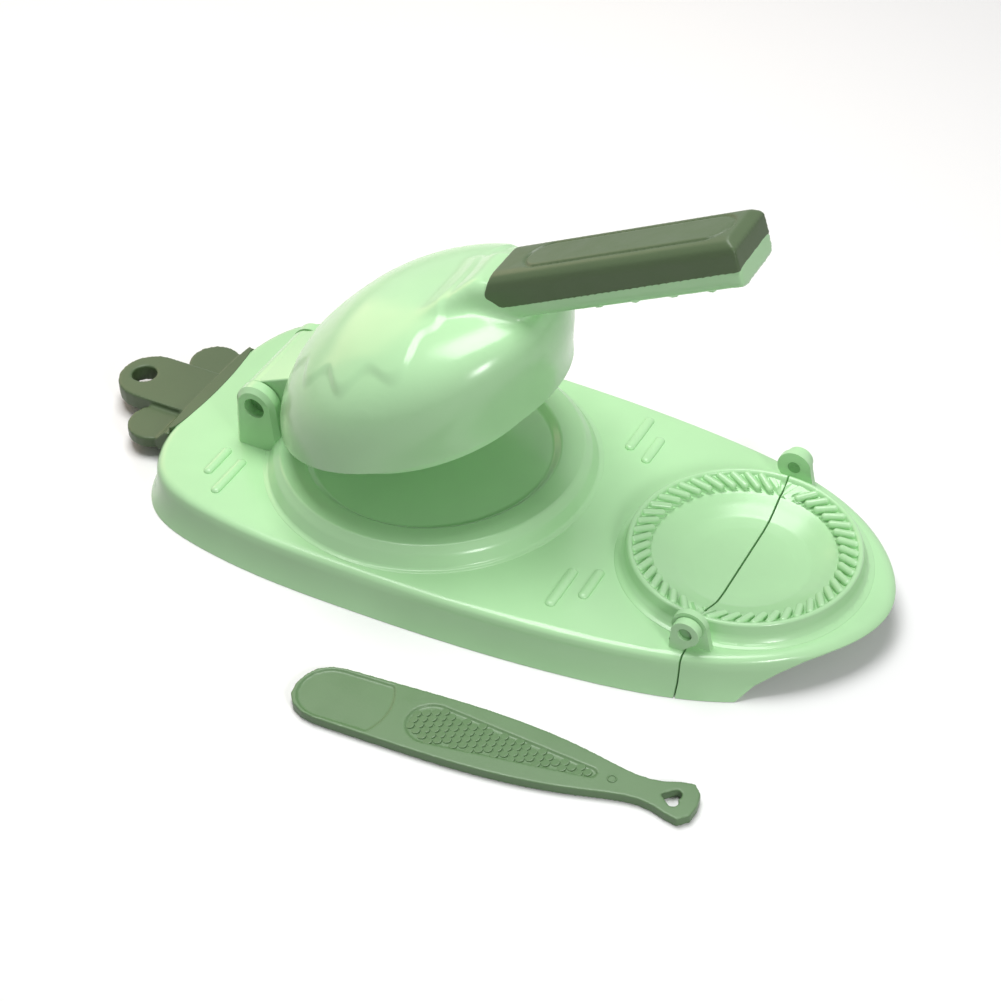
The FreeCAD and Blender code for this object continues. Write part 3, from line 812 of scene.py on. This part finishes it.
def layer_reach(angle):
    """How far the layer reaches from its middle, by the angle away from the handle in degrees."""
    drip = drip_length * math.cos(math.radians((angle - first_drip) * drips_in_a_turn))
    sway = sway_length * math.sin(math.radians(angle * sways_in_a_turn))
    extra = longest_extra * math.exp(-((angle - longest_drip) / longest_spread) ** 2)
    wave = drip + sway + extra
    growth = reach_gain * ease((angle - reach_grows_from) / reach_grows_over)
    return reach_at_handle + growth + wave * ease((angle - drips_begin) / drips_grow_over)


def layer_weight(point):
    """Full inside the layer's edge, and nothing near the rim."""
    x = point.x - layer_middle
    angle = abs(math.degrees(math.atan2(point.y, x)))
    inside = layer_reach(angle) - math.hypot(x, point.y)
    return ease(inside / layer_edge) * ease((point.z - rim_height - rim_clearance) / rim_clearance)


drips = weigh(lid_body, "drips", layer_weight)
apply_modifier(lid_body, "DISPLACE", strength=layer_height * MM, mid_level=0.0, vertex_group=drips)
print("layer raised by", layer_height, "mm")

# %% [markdown]
# ## The rim, and swinging the lid open
# So far the lid is closed below. Bisect cuts it level at the rim, and the open edge is extruded inwards and
# then up, which gives the rim its thickness and a lip. The lid is modelled shut and shown open, so it turns
# about its hinge last of all, and so does every other piece that is modelled on the shut lid.

# %% Cut the rim and swing the lid open
hinge_height = 36.4
hinge = Vector((hinge_x, 0, hinge_height)) * MM
open_angle = math.radians(-17.6)
swing = Matrix.Translation(hinge) @ Matrix.Rotation(open_angle, 4, "Y") @ Matrix.Translation(-hinge)
rim_place = (0, 0, rim_height * MM)
lip_share = 0.957
lip_depth = 4.0


def swing_open(piece, name):
    """Turns a piece that was modelled with the lid shut to where the lid stands."""
    piece.matrix_world = swing @ piece.matrix_world
    return settle(piece, name)


edit_all(lid_body)
bpy.ops.mesh.bisect(plane_co=rim_place, plane_no=(0, 0, -1), use_fill=False, clear_outer=True)
bpy.ops.mesh.select_all(action="DESELECT")
bpy.ops.mesh.select_mode(type="EDGE")
bpy.ops.mesh.select_non_manifold()
bpy.ops.mesh.extrude_edges_move()
bpy.ops.transform.resize(value=(lip_share, lip_share, 1), center_override=rim_place)
bpy.ops.mesh.extrude_edges_move(TRANSFORM_OT_translate={"value": (0, 0, lip_depth * MM)})
bpy.ops.mesh.select_mode(type="VERT")
close_edit()
swing_open(lid_body, "lid_body")
smooth_look(lid_body, 60)
finish_piece(lid_body, "mint_shell", "lid", "press_lid")

# %% [markdown]
# ## The hinge barrel
# Between the two ears the lid ends in a thick barrel, through which the pins go. A cylinder is the barrel,
# and the half of it that faces the dome is drawn out into the arm that joins the two.

# %% Hinge barrel
barrel_radius = 8.7
barrel_length = 37.2
barrel_rounding = 0.8
arm_from = 2.0
arm_reach = 16.0
arm_rise = 2.0
let_go()
bpy.ops.mesh.primitive_cylinder_add(
    vertices=64, radius=barrel_radius * MM, depth=barrel_length * MM, location=hinge,
    rotation=(math.pi / 2, 0, 0))
barrel = settle(bpy.context.object, "hinge_barrel")
edit_where(barrel, lambda vertex: vertex.co.x > hinge.x + arm_from * MM)
bpy.ops.transform.translate(value=(arm_reach * MM, 0, arm_rise * MM))
close_edit()
soften(barrel, barrel_rounding, everywhere, sharp=50)
swing_open(barrel, "hinge_barrel")
smooth_look(barrel, 50)
finish_piece(barrel, "mint_shell", "lid")

# %% [markdown]
# ## The handle cover
# A satin sage cover is let into the handle's top. It is close to its solid, so a copy is melted, which
# rounds every edge as a mould does; bevelling its many short edges would crack the skin. The fine line round
# its panel is pressed in with a vertex group that is full along a stadium seen from above.

# %% Cover
cover_voxel = 0.5
cover_rounds = 16
cover_top_depth = 2.0
groove_radius = 7.85
groove_width = 0.9
groove_depth = 0.6
groove_near = 72.4
groove_far = 140.6


def groove_weight(point):
    """Full on the line of the cover's panel, a stadium seen from above with the lid shut."""
    shut = swing.inverted() @ (point * MM) / MM
    if handle_top(shut.x) - shut.z > cover_top_depth:
        return 0.0
    beyond = max(groove_near - shut.x, 0.0, shut.x - groove_far)
    return 1 - ease(abs(math.hypot(beyond, shut.y) - groove_radius) / groove_width)


handle_cover = workable_copy("handle_cover", "handle_cover_soft")
melt(handle_cover, cover_voxel, cover_rounds)
groove = weigh(handle_cover, "groove", groove_weight)
apply_modifier(handle_cover, "DISPLACE", strength=-groove_depth * MM, mid_level=0.0, vertex_group=groove)
smooth_look(handle_cover, 80)
finish_piece(handle_cover, "sage_trim", "lid", "handle_cover")

# %% [markdown]
# ## The leaf
# Three lobes of the same sage make a leaf at the board's tail, and the middle one has a hole to hang the
# tool by. Its outline is right in the solid, so a copy is melted like the cover.

# %% Leaf
leaf_voxel = 0.5
leaf_rounds = 14
leaf = workable_copy("leaf_tab", "leaf_soft")
melt(leaf, leaf_voxel, leaf_rounds)
smooth_look(leaf, 80)
finish_piece(leaf, "sage_trim", "board", "leaf_tab")

# %% [markdown]
# ## The collar of the leaf
# Where the leaf meets the board, a slim lens of the same sage plastic slopes up onto the board's top. It is
# a disc drawn out to an oval, tilted, pulled in on the leaf's side and extruded down into the board.

# %% Collar
collar_middle = Vector((-104.6, 0, 16.58)) * MM
collar_half_depth = 4.2
collar_half_width = 30.0
collar_tilt = math.radians(-3.0)
collar_outside = 0.35
collar_height = 4.0
collar_rounding = 0.3
let_go()
bpy.ops.mesh.primitive_circle_add(
    vertices=72, radius=MM, fill_type="NGON", location=collar_middle, rotation=(0, collar_tilt, 0))
collar = bpy.context.object
collar.scale = (collar_half_depth, collar_half_width, 1)
settle(collar, "leaf_collar")
edit_where(collar, lambda vertex: vertex.co.x < collar_middle.x)
bpy.ops.transform.resize(value=(collar_outside, 1, collar_outside), center_override=collar_middle)
bpy.ops.mesh.select_all(action="SELECT")
bpy.ops.mesh.extrude_region_move(TRANSFORM_OT_translate={"value": (0, 0, -collar_height * MM)})
bpy.ops.mesh.select_all(action="SELECT")
bpy.ops.mesh.normals_make_consistent(inside=False)
close_edit()
soften(collar, collar_rounding, everywhere, sharp=40)
smooth_look(collar, 50)
finish_piece(collar, "sage_trim", "board")

# %% [markdown]
# ## The filling spoon
# The spoon is flat, with a smooth pad at its tip and a sunk panel to hold it by. The solid has its outline,
# both panels and the heart-shaped hole. A copy is melted with the finest voxels of all, since the panels'
# edges are low and would be lost in coarser ones.

# %% Spoon
spoon_voxel = 0.4
spoon_rounds = 4
spoon = workable_copy("filling_spoon", "spoon_soft")
melt(spoon, spoon_voxel, spoon_rounds)
smooth_look(spoon, 80)
finish_piece(spoon, "sage_spoon", "spoon", "filling_spoon")

# %% [markdown]
# ## Scales in the grip panel
# Small overlapping scales fill the panel, so that wet fingers don't slip. A bump in the material would be
# lost in the exported mesh, so each scale is a thin disc with a softened upper edge, tilted to lie over the
# next one. It is modelled once and copied in rows that are offset by half a step, wherever it fits inside
# the panel's teardrop. Scales and ring are laid out along the spoon and then turned to where it lies.

# %% Scales of the grip panel
spoon_place = Vector((8.7, -118.6, 0)) * MM
spoon_turn = Matrix.Translation(spoon_place) @ Matrix.Rotation(math.radians(4.3), 4, "Z")
panel_floor = 3.0
panel_start = 53.5
panel_tip = 113.6
panel_radius = 9.3
tip_radius = 2.2
scale_radius = 1.75
scale_thickness = 0.8
scale_tilt = math.radians(-11)
scale_rounding = 0.3
scale_pitch = 3.0
scale_overlap = 0.8
first_row = 46.5
row_count = 23
columns_each_side = 4


def panel_half(x):
    """Half the width of the panel's teardrop, this far along the spoon."""
    if x < panel_start:
        return math.sqrt(max(0.0, panel_radius ** 2 - (x - panel_start) ** 2))
    share = (x - panel_start) / (panel_tip - panel_start)
    return panel_radius + (tip_radius - panel_radius) * share


def on_upper_side(*points):
    """The upper edge of a scale that lies about the origin."""
    return all(point.z > 0 for point in points)


let_go()
bpy.ops.mesh.primitive_cylinder_add(
    vertices=10, radius=scale_radius * MM, depth=scale_thickness * MM, rotation=(0, scale_tilt, 0))
first_scale = settle(bpy.context.object, "scale")
soften(first_scale, scale_rounding, on_upper_side, sharp=40, segments=2)
scales = []
for row in range(row_count):
    x = first_row + row * scale_pitch
    for column in range(-columns_each_side, columns_each_side + 1):
        y = (column + 0.5 * (row % 2)) * scale_pitch
        if abs(y) + scale_radius > panel_half(x) + scale_overlap:
            continue
        scale = bpy.data.objects.new("scale", first_scale.data.copy())
        bpy.context.scene.collection.objects.link(scale)
        scale.location = Vector((x, y, panel_floor)) * MM
        scales.append(scale)
bpy.data.objects.remove(first_scale)
print("scales:", len(scales))

# %% [markdown]
# ## Joining the scales
# Well over a hundred scales would be a nuisance as single pieces, so they are joined to one. Join keeps the
# object that is active, and settling it puts its place into the mesh before the whole panel is turned.

# %% Join and turn the scales
take(scales[0])
for scale in scales:
    scale.select_set(True)
bpy.ops.object.join()
grip_scales = settle(bpy.context.object, "grip_scales")
grip_scales.matrix_world = spoon_turn
settle(grip_scales, "grip_scales")
smooth_look(grip_scales, 30)
finish_piece(grip_scales, "sage_spoon", "spoon")

# %% [markdown]
# ## The small ring behind the panel
# A tiny raised ring follows the panel's tip. A torus that is drawn up a little stands out of the spoon's
# top with a round crest, and its lower half is sunk in the plastic.

# %% Mark ring
ring_place = (121.5 * MM, 0, 3.75 * MM)
ring_radius = 1.5
ring_wire = 0.35
ring_drawn_up = 1.4
let_go()
bpy.ops.mesh.primitive_torus_add(
    major_segments=28, minor_segments=10, major_radius=ring_radius * MM, minor_radius=ring_wire * MM,
    location=ring_place)
mark_ring = settle(bpy.context.object, "mark_ring")
edit_all(mark_ring)
bpy.ops.transform.resize(value=(1, 1, ring_drawn_up), center_override=ring_place)
close_edit()
mark_ring.matrix_world = spoon_turn
settle(mark_ring, "mark_ring")
smooth_look(mark_ring, 60)
finish_piece(mark_ring, "sage_spoon", "spoon")

# %% [markdown]
# ## White surroundings
# The tool is shown on a plain white table under soft light, as for a shop. The camera and the reflections
# see table and sky as white. To the light that bounces between surfaces both are darker, as in a room
# beyond the table, so the sides of the board keep their shading. The Light Path node tells the two apart.

# %% Rays that see white
seeing_kinds = ("Is Camera Ray", "Is Glossy Ray", "Is Transmission Ray")


def seeing_rays(tree):
    """A value of 1 for camera, glossy and transmission rays, and 0 for bounced light."""
    ray = tree.nodes.new("ShaderNodeLightPath")
    seen = ray.outputs[seeing_kinds[0]]
    for kind in seeing_kinds[1:]:
        either = tree.nodes.new("ShaderNodeMath")
        either.operation = "MAXIMUM"
        tree.links.new(seen, either.inputs[0])
        tree.links.new(ray.outputs[kind], either.inputs[1])
        seen = either.outputs[0]
    return seen


print("rays that see white:", seeing_kinds)

# %% [markdown]
# ## The table
# The table is one large matt plane just under the tool's feet, and it catches the soft shadow. Its colour
# comes through a Map Range node, which turns the rays' 0 or 1 into a bounce or a white. Table, lamps and
# camera are placed in metres.

# %% Floor
table_white = 0.96
table_bounce = 0.30
table_roughness = 0.8
table_size = 6.0
table_height = -0.0002
let_go()
bpy.ops.mesh.primitive_plane_add(size=table_size, location=(0, 0, table_height))
floor = settle(bpy.context.object, "floor")
floor_finish = bpy.data.materials.new("white_table")
floor_finish.use_nodes = True
table = floor_finish.node_tree
table_shader = table.nodes["Principled BSDF"]
table_tone = table.nodes.new("ShaderNodeMapRange")
table_tone.inputs["To Min"].default_value = table_bounce
table_tone.inputs["To Max"].default_value = table_white
table.links.new(seeing_rays(table), table_tone.inputs["Value"])
table.links.new(table_tone.outputs["Result"], table_shader.inputs["Base Color"])
table_shader.inputs["Roughness"].default_value = table_roughness
floor.data.materials.append(floor_finish)
print("floor:", tuple(floor.dimensions))

# %% [markdown]
# ## The sky
# The world is a white dome round the table. What sees it gets full white, and as a light it is dim, because
# an even light from all sides takes the shape out of a pale, glossy object. A Mix Shader picks between the
# two backgrounds with the same rays as above.

# %% World
white = (1, 1, 1)
sky_strength = 0.2
world = bpy.data.worlds.new("studio")
bpy.context.scene.world = world
world.use_nodes = True
sky = world.node_tree
sky_light = sky.nodes["Background"]
sky_light.inputs["Color"].default_value = (*white, 1)
sky_light.inputs["Strength"].default_value = sky_strength
sky_seen = sky.nodes.new("ShaderNodeBackground")
sky_seen.inputs["Color"].default_value = (*white, 1)
pick = sky.nodes.new("ShaderNodeMixShader")
sky.links.new(seeing_rays(sky), pick.inputs[0])
sky.links.new(sky_light.outputs[0], pick.inputs[1])
sky.links.new(sky_seen.outputs[0], pick.inputs[2])
sky.links.new(pick.outputs[0], sky.nodes["World Output"].inputs["Surface"])
print("world strength:", sky_strength)

# %% [markdown]
# ## Three lamps
# A large lamp overhead gives the main light and soft shadows. A small one in front, like a window, draws
# crisp highlights on the gloss and lights the skirt. A weak warm one from the tail adds a hint of colour to
# the dome's back. All are area lamps, because a point lamp would cast hard shadows.

# %% Lamps
board_middle = (0.03, 0, 0.03)
dome_middle = (0.0, 0, 0.06)
warm_tint = (1, 0.72, 0.42)


def soft_lamp(name, place, aim, size, watts, tint):
    """A square area lamp that looks at a point; places and sizes are in metres."""
    lamp = bpy.data.lights.new(name, "AREA")
    lamp.size = size
    lamp.energy = watts
    lamp.color = tint
    holder = bpy.data.objects.new(name, lamp)
    bpy.context.scene.collection.objects.link(holder)
    holder.location = place
    holder.rotation_euler = (Vector(aim) - Vector(place)).to_track_quat("-Z", "Y").to_euler()


soft_lamp("key_lamp", place=(-0.12, 0.12, 1.0), aim=board_middle, size=0.6, watts=9.0, tint=white)
soft_lamp("window_lamp", place=(0.62, -0.42, 0.42), aim=board_middle, size=0.16, watts=2.0, tint=white)
soft_lamp("warm_lamp", place=(-0.6, 0.25, 0.3), aim=dome_middle, size=0.4, watts=0.7, tint=warm_tint)

# %% [markdown]
# ## The camera
# The camera looks down on the front of the board from the side of the mould, with a long lens and a slight
# roll. It is placed by two angles and a distance from the point that it looks at, which are easier to adjust
# than a place and three turns. Its matrix holds its right, up and backward directions and its place.

# %% Camera
view_azimuth = math.radians(28.68)
view_height = math.radians(40.79)
view_roll = math.radians(-1.5)
view_distance = 0.83281
lens_length = 79.28
sensor_width = 36.0
aim = Vector((0.03964, -0.01877, 0.0246))
backwards = Vector((
    math.sin(view_azimuth) * math.cos(view_height),
    -math.cos(view_azimuth) * math.cos(view_height),
    math.sin(view_height)))
level_right = Vector((math.cos(view_azimuth), math.sin(view_azimuth), 0))
level_up = backwards.cross(level_right)
right = level_right * math.cos(view_roll) + level_up * math.sin(view_roll)
up = level_up * math.cos(view_roll) - level_right * math.sin(view_roll)
eye = aim + backwards * view_distance
camera_data = bpy.data.cameras.new("camera")
camera_data.sensor_width = sensor_width
camera_data.lens = lens_length
camera = bpy.data.objects.new("camera", camera_data)
bpy.context.scene.collection.objects.link(camera)
camera.matrix_world = Matrix((
    (right.x, up.x, backwards.x, eye.x),
    (right.y, up.y, backwards.y, eye.y),
    (right.z, up.z, backwards.z, eye.z),
    (0, 0, 0, 1)))
bpy.context.scene.camera = camera
bpy.context.scene.view_settings.view_transform = "Standard"
print("camera at", tuple(round(part, 3) for part in eye))
